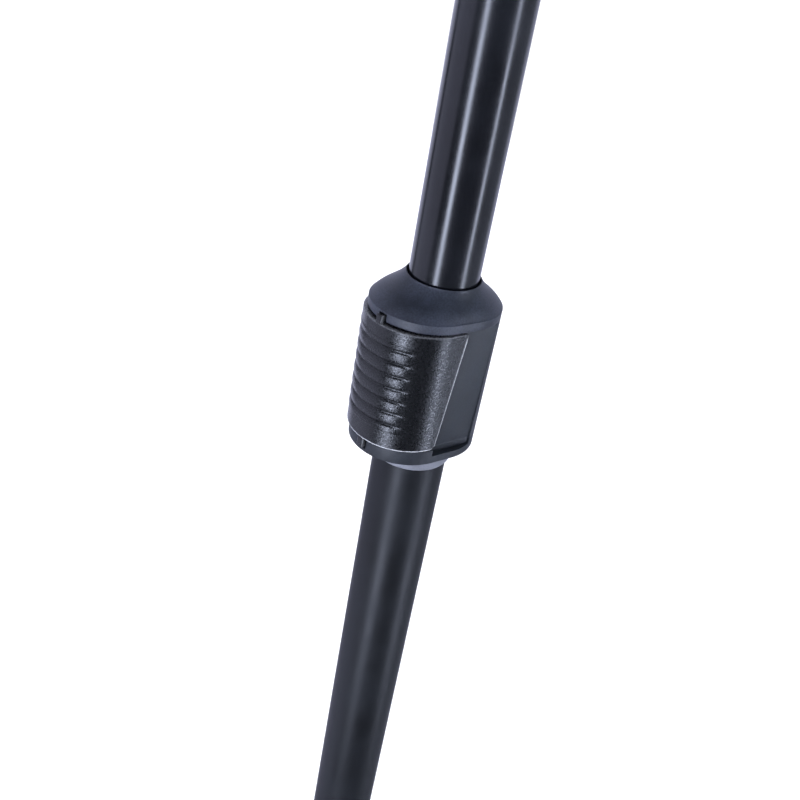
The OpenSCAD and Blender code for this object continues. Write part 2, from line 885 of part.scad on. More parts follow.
module pivot_bolt() {
    left = -ear_out - nut_t - 3;
    color("#8d9196") translate([left, mast_y, pivot_z])
        rotate([0, 90, 0]) cylinder(r = bolt_r, h = ear_out + bolt_end - left);
}

module tilt_knob() {
    start = ear_out + 2 * axial_play;
    color("#17181a") translate([start, mast_y, pivot_z]) rotate([0, 90, 0]) difference() {
        union() {
            cylinder(r = hub_of_knob_r, h = hub_of_knob_t);
            translate([0, 0, hub_of_knob_t - 2]) linear_extrude(knob_t - hub_of_knob_t + 2) {
                circle(knob_r - lobe_r + 1);
                for (i = [0 : 4]) rotate(72 * i) translate([knob_r - lobe_r, 0]) circle(lobe_r);
            }
        }
        translate([0, 0, -1])
            cylinder(r = bolt_r + fit_play, h = ear_out + bolt_end - start + 1.1);
    }
}

module weld_nut() {
    color("#8d9196") translate([-ear_out - nut_t, mast_y, pivot_z]) rotate([0, 90, 0])
        difference() {
            cylinder(r = 7.5, h = nut_t, $fn = 6);
            translate([0, 0, -1]) cylinder(r = bolt_r + run_play, h = nut_t + 2);
        }
}

// ---- desk ----

// Puts the upright desk, drawn round its pivot, in its place at its lean
module at_desk() {
    translate([0, mast_y, pivot_z]) rotate([-desk_lean, 0, 0]) children();
}

module desk_bracket() {
    ear_r = tongue_r + 1;
    color("#24262b") at_desk() difference() {
        union() {
            translate([-bracket_w / 2, -pivot_back, -bracket_h / 2])
                cube([bracket_w, bracket_t, bracket_h]);
            for (side = [-1, 1])
                translate([side * (ear_x + bracket_t / 2) - bracket_t / 2, 0, 0]) {
                    rotate([0, 90, 0]) cylinder(r = ear_r, h = bracket_t);
                    translate([0, -pivot_back + 1, -ear_r])
                        cube([bracket_t, pivot_back - 1, 2 * ear_r]);
                }
        }
        translate([-50, 0, 0]) rotate([0, 90, 0]) cylinder(r = bolt_r + run_play, h = 100);
        rivet_holes();
    }
}

module rivet_holes() {
    for (x = [-rivet_x, rivet_x], z = [-rivet_z, rivet_z])
        translate([x, -pivot_back + bracket_t + 1, z])
            rotate([90, 0, 0]) cylinder(r = rivet_r + run_play, h = bracket_t + sheet_t + 2);
}

// The countersunk heads of the rivets lie flush in the panel's front
module rivet_sinks(play) {
    for (x = [-rivet_x, rivet_x], z = [-rivet_z, rivet_z])
        translate([x, -pivot_back - sheet_t + sink, z]) rotate([90, 0, 0])
            cylinder(r1 = rivet_r + play, r2 = rivet_r + sink + play, h = sink);
}

module desk_rivets() {
    color("#3a3d42") at_desk() {
        rivet_sinks(0);
        for (x = [-rivet_x, rivet_x], z = [-rivet_z, rivet_z])
            translate([x, bracket_t - pivot_back + rivet_head_t, z]) rotate([90, 0, 0]) {
                cylinder(r = rivet_r, h = rivet_head_t + bracket_t + sheet_t - sink / 2);
                cylinder(r = rivet_head_r, h = rivet_head_t);
            }
    }
}

module desk_panel() {
    edge = desk_w / 2 - corner_r;
    color("#24262b") at_desk() difference() {
        union() {
            translate([0, -pivot_back, -pivot_up]) rotate([90, 0, 0])
                linear_extrude(sheet_t) union() {
                    translate([-desk_w / 2, 0]) square([desk_w, desk_h - corner_r]);
                    translate([-edge, 0]) square([2 * edge, desk_h]);
                    for (x = [-edge, edge]) translate([x, desk_h - corner_r]) circle(corner_r);
                }
            translate([-desk_w / 2, -pivot_back - shelf_d, -pivot_up])
                cube([desk_w, shelf_d, sheet_t]);
            translate([-desk_w / 2, -pivot_back - shelf_d, -pivot_up])
                cube([desk_w, sheet_t, shelf_lip]);
        }
        rivet_holes();
        rivet_sinks(run_play);
    }
}

lower_tube();
liner_bush();
upper_tube();
tube_end_bush();
clutch_housing();
clutch_cap();
clutch_bottom_ring();
tube_collar();
squeeze_lever();
release_comb();
lock_plate_top();
lock_plate_middle();
lock_plate_bottom();
plate_spring();
lever_springs();
clutch_screws();
housing_grub_screw();
base_plug();
base_bolt();
base_nut();
rear_collar();
left_collar();
right_collar();
friction_washers();
stop_ring();
stop_grub_screw();
rear_leg();
left_leg();
right_leg();
rear_boot();
left_boot();
right_boot();
rear_leg_screw();
left_leg_screw();
right_leg_screw();
head_socket();
head_screw();
friction_discs();
pivot_bolt();
tilt_knob();
weld_nut();
desk_bracket();
desk_rivets();
desk_panel();
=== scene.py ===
"""Music stand: the looks of a folded sheet desk on a two-tube mast with a squeeze clutch and three bent legs.

Lengths in this file are millimetres until add_mesh turns them to metres. New pieces are grids of points worked
out with numpy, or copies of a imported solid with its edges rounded.
"""
import json
import math

import bmesh
import bpy
import numpy as np
from mathutils import Matrix, Vector


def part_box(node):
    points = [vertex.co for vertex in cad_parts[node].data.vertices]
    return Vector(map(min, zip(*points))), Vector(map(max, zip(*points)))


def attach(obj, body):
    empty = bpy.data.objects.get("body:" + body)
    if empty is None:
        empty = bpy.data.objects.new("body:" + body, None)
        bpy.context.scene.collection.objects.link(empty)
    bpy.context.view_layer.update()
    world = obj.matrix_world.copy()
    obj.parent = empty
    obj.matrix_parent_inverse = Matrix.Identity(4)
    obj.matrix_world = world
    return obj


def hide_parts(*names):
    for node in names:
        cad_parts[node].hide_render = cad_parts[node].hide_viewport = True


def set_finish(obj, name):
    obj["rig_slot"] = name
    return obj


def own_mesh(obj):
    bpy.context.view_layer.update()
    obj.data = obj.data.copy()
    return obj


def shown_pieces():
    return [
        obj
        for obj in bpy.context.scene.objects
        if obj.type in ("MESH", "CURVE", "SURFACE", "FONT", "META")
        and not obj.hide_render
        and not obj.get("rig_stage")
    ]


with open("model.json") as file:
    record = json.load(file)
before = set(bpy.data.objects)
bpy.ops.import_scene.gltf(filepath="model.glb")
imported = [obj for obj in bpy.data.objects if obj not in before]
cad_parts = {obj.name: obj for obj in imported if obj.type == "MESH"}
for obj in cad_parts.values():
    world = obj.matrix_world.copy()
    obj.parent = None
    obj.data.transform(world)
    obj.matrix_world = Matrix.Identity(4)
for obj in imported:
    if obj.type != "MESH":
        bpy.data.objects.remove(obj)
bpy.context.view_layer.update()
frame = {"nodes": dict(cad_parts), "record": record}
NODES = frame["nodes"]

# ---- driving sizes, millimetres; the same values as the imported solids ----
CAP_TOP = 19.2
CAP_SHOULDER = 10.2
CAP_RIM = 3.5
CAP_GAP = 0.6
LIP_WALL = 0.55
OVAL_R = 20.0
OVAL_FRONT = 6.0
OVAL_REAR = 3.5
LEVER_WALL = 2.4
LEVER_BOTTOM = 40.6
LEVER_TOP = 5.9
WING_TOP = 0.5
WING_BOTTOM = 5.5
LEVER_PROUD = 1.5
LEVER_FRONT = OVAL_FRONT + LEVER_PROUD
TAB_WIDTH = 2.8
TAB_GAP = 0.4
TAB_X = 3.3
GROOVE_TOP = 1.5
GROOVE_PITCH = 4.9
GROOVE_COUNT = 7
LEG_REACH = 300.0
LEG_BEND = 32.0
LEG_START = 26.0
LEG_END_Z = 12.0
BEND_R = 60.0
LEG_R = 9.5
DESK_WIDTH = 500.0
DESK_HEIGHT = 340.0
SHEET = 1.2
SHELF_DEPTH = 60.0
SHELF_LIP = 15.0
CORNER_R = 20.0
PIVOT_TO_SHELF = 130.0
PIVOT_TO_PANEL = 28.0
DESK_LEAN = 25.0
RIVETS = [(x, z) for x in (-33, 33) for z in (-18, 18)]
CAP_WALL = 2.2
TUBE_WALLS = {"upper_tube": 1.5, "lower_tube": 0.95}
BRACKET_BASE = 3.0

# ---- finish: edges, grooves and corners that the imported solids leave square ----
# stations across a rounded edge, as shares of its radius
EDGE_LEAD = np.array([0, 0.08, 0.3, 0.62, 1.0])
CAP_EDGE = 0.25
SHOULDER_R = 0.5
NOTCH_ROOF = 1.0
BORE_DEPTH = 5.2
GROOVE_DEPTH = 0.55
GROOVE_SPREAD = 0.5
BAR_CROWN = 0.2
# degrees either side of the lever's middle where the grooves die away
GROOVE_REACH = 50
LEVER_EDGE = 0.45
LEVER_LOW_CORNER = 2.6
LEVER_TOP_CORNER = 1.2
TAB_EDGE = 0.3
TAB_ROOT = 1.0
TUBE_EDGE = 0.3
LEG_EDGE = 0.4
SHEET_BEND = 2.2
SHEET_EDGE = 0.35
# degrees round the mast, from the player's right
LEG_TURNS = {"rear_leg": 90, "left_leg": 210, "right_leg": 330}


def box_mm(node):
    """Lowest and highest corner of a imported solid, millimetres."""
    lo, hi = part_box(node)
    return np.array(lo) * 1000, np.array(hi) * 1000


def axis_of(node):
    """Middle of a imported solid's box."""
    lo, hi = box_mm(node)
    return (lo + hi) / 2


MAST_X, MAST_Y = axis_of("upper_tube")[:2]
CLUTCH = np.array([MAST_X, MAST_Y, box_mm("clutch_cap")[1][2] - CAP_TOP])
PIVOT = axis_of("weld_nut") * [0, 1, 1]
UPPER_R = (box_mm("upper_tube")[1][0] - box_mm("upper_tube")[0][0]) / 2
LOWER_R = (box_mm("lower_tube")[1][0] - box_mm("lower_tube")[0][0]) / 2


# ---- meshes ----

def add_mesh(name, points, faces, at=(0, 0, 0), sharp=38.0):
    """One mesh object from points in millimetres, moved by at, with edges over sharp degrees left crisp."""
    mesh = bpy.data.meshes.new(name)
    mesh.from_pydata(((np.asarray(points) + at) * 0.001).tolist(), [], [f.tolist() for f in faces])
    mesh.validate()
    mesh.shade_smooth()
    mesh.set_sharp_from_angle(angle=math.radians(sharp))
    piece = bpy.data.objects.new(name, mesh)
    bpy.context.scene.collection.objects.link(piece)
    return piece


def quads(rows, cols, wrap_rows=False, wrap_cols=False):
    """Index of the four corners of every cell of a grid, closed round rows or columns when asked."""
    i = np.arange(rows if wrap_rows else rows - 1)
    j = np.arange(cols if wrap_cols else cols - 1)
    i, j = np.meshgrid(i, j, indexing="ij")
    a = i * cols + j
    b = i * cols + (j + 1) % cols
    c = ((i + 1) % rows) * cols + (j + 1) % cols
    d = ((i + 1) % rows) * cols + j
    return np.stack([a, b, c, d], -1).reshape(-1, 4)


def outward(piece):
    """Merges doubled points and turns the faces of a closed piece outwards."""
    work = bmesh.new()
    work.from_mesh(piece.data)
    bmesh.ops.remove_doubles(work, verts=work.verts, dist=1e-7)
    bmesh.ops.recalc_face_normals(work, faces=work.faces)
    work.to_mesh(piece.data)
    work.free()
    return piece


def shell(name, grid, at=(0, 0, 0), wrap_rows=True, sharp=38.0):
    """A closed skin over a grid of rings: each row is one ring of points round the piece."""
    rows, cols = grid.shape[:2]
    piece = add_mesh(name, grid.reshape(-1, 3), quads(rows, cols, wrap_rows, True), at, sharp)
    return outward(piece)


def arc(cx, cz, r, start, end, steps):
    """Points of a circular arc in the r-z plane, angles in degrees."""
    a = np.radians(np.linspace(start, end, steps))
    return np.stack([cx + r * np.cos(a), cz + r * np.sin(a)], -1)


def turned(name, profile, at, axis="z", sides=96, sharp=38.0):
    """A closed profile of radius and height carried round an axis: x = r cos t, y = r sin t, z = height."""
    t = np.linspace(0, 2 * np.pi, sides, endpoint=False)
    r, h = np.asarray(profile, float).T
    x, y, z = r[:, None] * np.cos(t), r[:, None] * np.sin(t), h[:, None] + 0 * t
    grid = np.stack({"z": (x, y, z), "x": (z, x, y), "y": (y, z, x)}[axis], -1)
    return shell(name, grid, at, sharp=sharp)


def attribute(piece, name, values):
    """One number for each point, which a material can read by its name."""
    layer = piece.data.attributes.new(name, "FLOAT", "POINT")
    layer.data.foreach_set("value", np.asarray(values, np.float32))


def softened(node, width, segments=3, angle=32.0):
    """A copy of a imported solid: triangles merged to flat faces, edges rounded to width millimetres."""
    source = NODES[node]
    piece = source.copy()
    piece.data = source.data.copy()
    piece.name = node + "_finish"
    piece.parent = None
    for key in list(piece.keys()):
        del piece[key]
    bpy.context.scene.collection.objects.link(piece)
    work = bmesh.new()
    work.from_mesh(piece.data)
    bmesh.ops.remove_doubles(work, verts=work.verts, dist=2e-6)
    bmesh.ops.dissolve_limit(work, angle_limit=math.radians(0.6), verts=work.verts, edges=work.edges)
    work.to_mesh(piece.data)
    work.free()
    piece.data.shade_smooth()
    bevel = piece.modifiers.new("rounded_edges", "BEVEL")
    bevel.width = width * 0.001
    bevel.segments = segments
    bevel.limit_method = "ANGLE"
    bevel.angle_limit = math.radians(angle)
    bevel.use_clamp_overlap = True
    bevel.harden_normals = True
    return piece


def body_of(node):
    """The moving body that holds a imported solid."""
    return next(b for b, ns in frame["record"]["behaviour"]["bodies"].items() if node in ns)


def slot_of(node):
    """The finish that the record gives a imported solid."""
    return next(s["material_slot"] for s in frame["record"]["subparts"] if s["node"] == node)


def stands_for(piece, *nodes):
    """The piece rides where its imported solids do, and they are hidden."""
    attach(piece, body_of(nodes[0]))
    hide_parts(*nodes)
    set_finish(piece, slot_of(nodes[0]))
    return piece


# ---- the clutch's outline: two half-rounds and two straight sides ----

def oval_columns(arc_steps=64, side_steps=6, extra_front=()):
    """Centre and outward normal of each column round the oval, front half first, both as arrays of x and y.

    A point of the oval of radius r is its column's centre plus r times its normal.
    """
    front = np.sort(np.concatenate([np.linspace(-180, 0, arc_steps), np.asarray(extra_front, float)]))
    rear = np.linspace(0, 180, arc_steps)
    side = np.linspace(-OVAL_FRONT, OVAL_REAR, side_steps + 2)[1:-1]
    angle = np.radians(np.concatenate([front, 0 * side, rear, 180 + 0 * side]))
    centre_y = np.concatenate([0 * front - OVAL_FRONT, side, 0 * rear + OVAL_REAR, side[::-1]])
    centres = np.stack([0 * centre_y, centre_y], -1)
    return centres, np.stack([np.cos(angle), np.sin(angle)], -1)


def notch_angles(half_width, step=0.02):
    """Column angles just inside and just outside both sides of a notch at the oval's front."""
    sides = [math.degrees(math.asin((TAB_X + s * half_width) / OVAL_R)) for s in (-1, 1)]
    return [-90 + side + d for side in sides for d in (-step, step)]


def ring_of(columns, r, z):
    """The oval of radius r at height z, which is one number or one for each column."""
    centres, normals = columns
    flat = centres + r * normals
    return np.concatenate([flat, np.full((len(flat), 1), z) if np.isscalar(z) else z[:, None]], -1)


def lip_ring(columns, r, z):
    """A true circle round the mast whose points face the oval's points."""
    centres, normals = columns
    flat = centres + OVAL_R * normals
    flat = r * flat / np.linalg.norm(flat, axis=1, keepdims=True)
    return np.concatenate([flat, np.full((len(flat), 1), z)], -1)


def clutch_cap():
    """Rim band, rounded shoulder, cone drawn in from the oval to the round lip, the bore, and the inside.

    The cone blends shoulder and lip by s; its height follows a curve that is round at the shoulder and hollow
    below the lip: z = shoulder + rise * (s + 0.11 sin(pi s) (1 - 2.1 s)). The notch's sides run straight back,
    so the lever's tab slides in clear of them.
    """
    columns = oval_columns(72, 8, notch_angles(TAB_WIDTH / 2 + TAB_GAP))
    base = CAP_SHOULDER - CAP_RIM
    x = columns[0][:, 0] + OVAL_R * columns[1][:, 0]
    in_notch = (np.abs(x - TAB_X) < TAB_WIDTH / 2 + TAB_GAP) & (columns[1][:, 1] < -0.5)
    bottom = np.where(in_notch, CAP_SHOULDER - NOTCH_ROOF, base)
    lip_r = UPPER_R + CAP_GAP + LIP_WALL
    rings = [ring_of(columns, OVAL_R - CAP_EDGE, bottom), ring_of(columns, OVAL_R - 0.07, bottom + 0.07)]
    rings += [ring_of(columns, OVAL_R, bottom + CAP_EDGE)]
    top = CAP_SHOULDER - SHOULDER_R
    rings += [ring_of(columns, OVAL_R, bottom + (top - bottom) * k) for k in (0.35, 0.7)]
    rings += [ring_of(columns, r, z) for r, z in arc(OVAL_R - SHOULDER_R, top, SHOULDER_R, 0, 58, 6)]
    start = rings[-1]
    end = lip_ring(columns, lip_r, CAP_TOP - 0.35)
    for s in np.linspace(0, 1, 26)[1:]:
        ring = start + (end - start) * s
        ring[:, 2] = start[:, 2] + (end[:, 2] - start[:, 2]) * (s + 0.11 * np.sin(np.pi * s) * (1 - 2.1 * s))
        rings.append(ring)
    lip = ((0, -0.2), (-0.06, -0.06), (-0.2, 0), (-0.4, 0), (-0.5, -0.08), (-LIP_WALL, -0.2), (-LIP_WALL, -1.5),
           (-LIP_WALL, -BORE_DEPTH))
    rings += [lip_ring(columns, lip_r + dr, CAP_TOP + dz) for dr, dz in lip]
    inner = OVAL_R - CAP_WALL
    rings += [lip_ring(columns, lip_r + 1.0, CAP_TOP - BORE_DEPTH)]
    beside = np.clip(1 - (np.abs(x - TAB_X) - TAB_WIDTH / 2 - TAB_GAP) / 3, 0, 1) * (columns[1][:, 1] < -0.5)
    for r, z in ((inner, CAP_SHOULDER - 0.6), (inner, bottom + 0.3), (inner + 0.2, bottom)):
        ring = ring_of(columns, r, z)
        across = ring[:, 0] + (x - ring[:, 0]) * beside
        reach = np.sqrt(np.maximum(r * r - across ** 2, 0))
        ring[:, 1] = np.where(beside > 0, -OVAL_FRONT - reach, ring[:, 1])
        ring[:, 0] = across
        rings.append(ring)
    piece = shell("cap_shell", np.array(rings), CLUTCH, sharp=30)
    return stands_for(piece, "clutch_cap")


def groove_relief(z, turn):
    """Depth in millimetres below the lever's skin: a V with rounded lips at each groove, pillowed bars between.

    turn is the angle from the lever's middle; the grooves fade out at both ends.
    """
    phase = (-GROOVE_TOP - z) / GROOVE_PITCH
    inside = (phase > -0.5) & (phase < GROOVE_COUNT - 0.5)
    gap = np.abs(phase - np.round(phase)) * GROOVE_PITCH
    cut = GROOVE_DEPTH * np.exp(-(gap / GROOVE_SPREAD) ** 2)
    pillow = BAR_CROWN * (1 - np.cos(np.clip(gap / GROOVE_PITCH * 2, 0, 1) * np.pi)) / 2
    fade = 1 / (1 + np.exp((np.abs(turn) - GROOVE_REACH) / 2.0))
    return np.where(inside, cut - pillow, 0) * fade


def edge_round(distance, r):
    """How far a surface drops at this distance from its edge when the edge is a quarter circle of radius r."""
    d = np.clip(distance, 0, r)
    return r - np.sqrt(np.maximum(r * r - (r - d) ** 2, 0))


def edge_steps(length, edge, count):
    """Stations along a length, crowded into its two rounded ends."""
    lead = edge * EDGE_LEAD
    middle = np.linspace(edge, length - edge, count)[1:-1]
    return np.concatenate([lead, middle, (length - lead)[::-1]])


def squeeze_lever():
    """A bent shell round the clutch's front: grid of height and of travel round the oval from wing to wing.

    The wings end on a slanted line, the corners are rounded, every edge rolls in by a quarter circle, and the
    grooves are pressed into the skin. The inside is the same grid a wall's thickness further in. A point
    attribute
    holds a painted highlight: 1 on the rolled edges, which the material paints pale as if lit, and near 0 along
    the top edge, where the overhead lamp already lights the pale paint.
    """
    height = LEVER_TOP + LEVER_BOTTOM
    stations = edge_steps(height, LEVER_EDGE, 200)
    quarter = math.pi / 2 * OVAL_R
    z0 = -LEVER_BOTTOM + stations
    wing = WING_BOTTOM + (WING_TOP - WING_BOTTOM) * (z0 + LEVER_BOTTOM) / height
    reach = quarter + LEVER_FRONT - wing
    inner_cols = np.linspace(-1, 1, 161)
    grid_s = inner_cols[None, :] * (reach[:, None] - LEVER_EDGE)
    tails = reach[:, None] - LEVER_EDGE * EDGE_LEAD
    s = np.concatenate([-tails[:, :-1], grid_s, tails[:, -2::-1]], 1)
    near_wing = reach[:, None] - np.abs(s)
    low_lift, top_lift = (
        np.where(near_wing < r, r - np.sqrt(np.maximum(r ** 2 - (r - near_wing) ** 2, 0)), 0)
        for r in (LEVER_LOW_CORNER, LEVER_TOP_CORNER))
    t = stations[:, None] / height
    z = -LEVER_BOTTOM + low_lift + t * (height - low_lift - top_lift)
    from_bottom = stations[:, None] + 0 * s
    from_top = height - from_bottom
    to_edge = np.minimum(np.minimum(from_bottom, from_top), near_wing)
    turn = np.degrees(np.clip(s, -quarter, quarter) / OVAL_R)
    depth = edge_round(to_edge, LEVER_EDGE) + groove_relief(z, turn)
    outer = lever_points(s, z, OVAL_R - depth, quarter)
    inner = lever_points(s, z, OVAL_R - LEVER_WALL + 0 * depth, quarter)
    rows, cols = s.shape
    points = np.concatenate([outer.reshape(-1, 3), inner.reshape(-1, 3)])
    count = rows * cols
    skin = quads(rows, cols)
    index = np.arange(count).reshape(rows, cols)
    rim = np.concatenate([index[0], index[1:, -1], index[-1, -2::-1], index[-2:0:-1, 0]])
    nxt = np.roll(rim, -1)
    walls = np.stack([rim, rim + count, nxt + count, nxt], -1)
    faces = np.concatenate([skin, skin[:, ::-1] + count, walls])
    piece = add_mesh("lever_skin", points, faces, CLUTCH, sharp=42)
    # Painted highlight: the rolled edges are painted pale to look lit, only faintly along the top edge, which
    # the overhead lamp already lights.
    painted_highlight_share = np.where(from_top < 3 * LEVER_EDGE, 0.12, 1.0)
    edge_highlight_paint = np.clip(1.5 - to_edge / (0.8 * LEVER_EDGE), 0, 1) * painted_highlight_share
    attribute(piece, "edge_highlight_paint", np.concatenate([edge_highlight_paint.ravel(), 0 * edge_highlight_paint.ravel()]))
    outward(piece)
    return piece


def lever_coils():
    """The two springs behind the lever, which shorten towards their seats in the housing as it is pressed; this
    copy keeps the coils' imported shape.
    """
    packed = NODES["lever_springs"]
    coils = packed.copy()
    coils.data = packed.data.copy()
    coils.name = "lever_coils"
    coils.parent = None
    for key in list(coils.keys()):
        del coils[key]
    bpy.context.scene.collection.objects.link(coils)
    stands_for(coils, "lever_springs")
    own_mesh(coils)


def lever_points(s, z, r, quarter):
    """Points of the oval's front at a distance s from its middle: round the half-round, then straight back."""
    a = np.clip(s, -quarter, quarter) / OVAL_R
    back = np.abs(s) - quarter
    x = r * np.sin(a)
    y = -LEVER_FRONT - r * np.cos(a) + np.clip(back, 0, None)
    return np.stack([x, y, z], -1)


def lever_tabs():
    """The two tabs that reach from the lever into the cap's rim and the bottom ring, each a curved block."""
    made = []
    spans = (("tab_top", LEVER_TOP - TAB_ROOT, CAP_SHOULDER - 1.35),
             ("tab_bottom", -LEVER_BOTTOM - 4.1, TAB_ROOT - LEVER_BOTTOM))
    for name, low, high in spans:
        x = np.array([-1, -0.95, -0.85, -0.4, 0, 0.4, 0.85, 0.95, 1]) * TAB_WIDTH / 2
        turn = np.arcsin((TAB_X + x) / OVAL_R)
        drop = edge_round(TAB_WIDTH / 2 - np.abs(x), TAB_EDGE)
        rings = []
        for z, inset in ((low, TAB_EDGE), (low + 0.09, 0.09), (low + TAB_EDGE, 0), (high - TAB_EDGE, 0),
                         (high - 0.09, 0.09), (high, TAB_EDGE)):
            r = OVAL_R - 0.05 - inset - drop
            front = np.stack([r * np.sin(turn), -LEVER_FRONT - r * np.cos(turn), 0 * x + z], -1)
            q = OVAL_R - LEVER_WALL + inset
            back = np.stack([q * np.sin(turn), -LEVER_FRONT - q * np.cos(turn), 0 * x + z], -1)[::-1]
            rings.append(np.concatenate([front, back]))
        grid = np.array(rings)
        rows, cols = grid.shape[:2]
        faces = quads(rows, cols, False, True).tolist()
        faces += [list(range(cols))[::-1], [(rows - 1) * cols + k for k in range(cols)]]
        piece = add_mesh(name, grid.reshape(-1, 3), [np.array(f) for f in faces], CLUTCH, 45)
        # Painted highlight: a faint pale line painted on the tabs' side edges.
        tab_edge_highlight_paint = np.concatenate([(np.abs(x) > 0.9 * TAB_WIDTH / 2) * 0.1, 0 * x])
        attribute(piece, "edge_highlight_paint", np.tile(tab_edge_highlight_paint, len(rings)))
        made.append(outward(piece))
    return made


# ---- tubes, legs, mouldings and the desk ----

def tube_profile(r_in, r_out, low, high, edge):
    """Closed section of a tube wall with its four edges broken."""
    return [(r_out - edge, low), (r_out - 0.3 * edge, low + 0.3 * edge), (r_out, low + edge),
            (r_out, high - edge), (r_out - 0.3 * edge, high - 0.3 * edge), (r_out - edge, high),
            (r_in + edge, high), (r_in, high - edge), (r_in, low + edge), (r_in + edge, low)]


def mast_tubes():
    """Both mast tubes, each turned from its wall's section."""
    for node, r_out in (("upper_tube", UPPER_R), ("lower_tube", LOWER_R)):
        wall = TUBE_WALLS[node]
        low, high = box_mm(node)[0][2], box_mm(node)[1][2]
        edge = min(TUBE_EDGE, wall / 3)
        profile = tube_profile(r_out - wall, r_out, low, high, edge)
        piece = turned(node + "_skin", profile, (MAST_X, MAST_Y, 0), sides=144)
        stands_for(piece, node)


def leg_path(level):
    """Centre line of a leg outward from the mast: distance out, height and slope, straight, bend, straight."""
    drop = level - LEG_END_Z - BEND_R * (1 - math.cos(math.radians(LEG_BEND)))
    slant = drop / math.sin(math.radians(LEG_BEND))
    bend_x = LEG_REACH - BEND_R * math.sin(math.radians(LEG_BEND)) - slant * math.cos(math.radians(LEG_BEND))
    a = np.radians(np.linspace(0, LEG_BEND, 25))
    bend = np.stack([bend_x + BEND_R * np.sin(a), level + BEND_R * (np.cos(a) - 1), a], -1)
    return np.concatenate([[[LEG_START, level, 0.0], [LEG_START + LEG_EDGE, level, 0.0]], bend,
                           [[LEG_REACH, LEG_END_Z, math.radians(LEG_BEND)]]])


def leg_tubes():
    """Each leg tube is a circle carried along its path; its first ring is drawn in for a broken edge."""
    for node, turn in LEG_TURNS.items():
        path = leg_path(axis_of(node.replace("leg", "collar"))[2])
        t = np.linspace(0, 2 * np.pi, 64, endpoint=False)
        r = np.full(len(path), LEG_R)
        r[0] -= LEG_EDGE
        lift = r[:, None] * np.sin(t)
        out = path[:, 0, None] + lift * np.sin(path[:, 2, None])
        up = path[:, 1, None] + lift * np.cos(path[:, 2, None])
        side = r[:, None] * np.cos(t)
        cos, sin = math.cos(math.radians(turn)), math.sin(math.radians(turn))
        grid = np.stack([out * cos - side * sin, out * sin + side * cos, up], -1)
        rows, cols = grid.shape[:2]
        faces = list(quads(rows, cols, False, True))
        faces += [np.arange(cols)[::-1], (rows - 1) * cols + np.arange(cols)]
        piece = add_mesh(node + "_skin", grid.reshape(-1, 3), faces, (MAST_X, MAST_Y, 0))
        stands_for(outward(piece), node)


def moulded(node, voxel, passes):
    """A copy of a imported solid, its edges and inner corners rounded as by a mould: remeshed, then relaxed."""
    piece = softened(node, 0.1)
    piece.modifiers.clear()
    remesh = piece.modifiers.new("skin", "REMESH")
    remesh.mode = "VOXEL"
    remesh.voxel_size = voxel * 0.001
    remesh.use_smooth_shade = True
    smooth = piece.modifiers.new("relaxed", "SMOOTH")
    smooth.factor = 0.5
    smooth.iterations = passes
    fitted = bpy.context.evaluated_depsgraph_get()
    mesh = bpy.data.meshes.new_from_object(piece.evaluated_get(fitted))
    piece.modifiers.clear()
    piece.data = mesh
    return piece


def desk_matrix():
    """From the upright desk drawn round its pivot, in millimetres, to its leaning place in metres."""
    place = Matrix.Translation(Vector((MAST_X, MAST_Y, PIVOT[2])) * 0.001)
    return place @ Matrix.Rotation(math.radians(-DESK_LEAN), 4, "X")


def desk_panel():
    """A folded sheet: its section is one band bent twice, and the top's corners are rounded.

    Stations along X carry the section; the panel's top at x is top - (R - sqrt(R^2 - (|x| - edge)^2)).
    """
    bend = SHEET_BEND
    base = -PIVOT_TO_SHELF
    front = -PIVOT_TO_PANEL - SHELF_DEPTH
    back = -PIVOT_TO_PANEL
    corner_in = arc(back - SHEET - bend, base + SHEET + bend, bend, 0, -90, 9)
    corner_out = arc(back - SHEET - bend, base + SHEET + bend, bend + SHEET, -90, 0, 11)
    lip_in = arc(front + SHEET + bend, base + SHEET + bend, bend, -90, -180, 9)
    lip_out = arc(front + SHEET + bend, base + SHEET + bend, bend + SHEET, 180, 270, 11)
    lip_top = arc(front + SHEET / 2, base + SHELF_LIP - SHEET / 2, SHEET / 2, 0, 180, 7)
    x = edge_steps(DESK_WIDTH, SHEET_EDGE, 12) - DESK_WIDTH / 2
    curved = DESK_WIDTH / 2 - CORNER_R + CORNER_R * np.sin(np.radians(np.linspace(0, 88, 22)))
    x = np.unique(np.round(np.concatenate([x, curved, -curved, np.linspace(-230, 230, 24)]), 4))
    to_eleven = 8 - np.linspace(0, 8, 11).round().astype(int)
    to_nine = 10 - np.linspace(0, 10, 9).round().astype(int)
    rings = []
    for at in x:
        over = max(abs(at) - (DESK_WIDTH / 2 - CORNER_R), 0)
        top = DESK_HEIGHT - PIVOT_TO_SHELF - (CORNER_R - math.sqrt(max(CORNER_R ** 2 - over ** 2, 0)))
        thin = edge_round(DESK_WIDTH / 2 - abs(at), SHEET_EDGE)
        top_arc = arc(back - SHEET / 2, top - SHEET / 2, SHEET / 2, 0, 180, 7)
        levels = np.linspace(base + SHEET + bend, top - SHEET / 2, 14)[1:-1]
        rear, face = (np.stack([0 * levels + y, levels], -1) for y in (back, back - SHEET))
        section = np.concatenate([corner_out, rear, top_arc, face[::-1], corner_in, lip_in, lip_top, lip_out])
        centre = np.concatenate([corner_in[to_eleven], face, top_arc[::-1], rear[::-1], corner_out[to_nine],
                                 lip_out[to_nine], lip_top[::-1], lip_in[to_eleven]])
        section = section + (centre - section) * (thin / SHEET)
        rings.append(np.concatenate([np.full((len(section), 1), at), section], -1))
    grid = np.array(rings)
    rows, cols = grid.shape[:2]
    faces = list(quads(rows, cols, False, True))
    faces += [np.arange(cols), (rows - 1) * cols + np.arange(cols)[::-1]]
    piece = add_mesh("desk_sheet", grid.reshape(-1, 3), faces, sharp=50)
    piece.data.transform(desk_matrix())
    stands_for(outward(piece), "desk_panel")


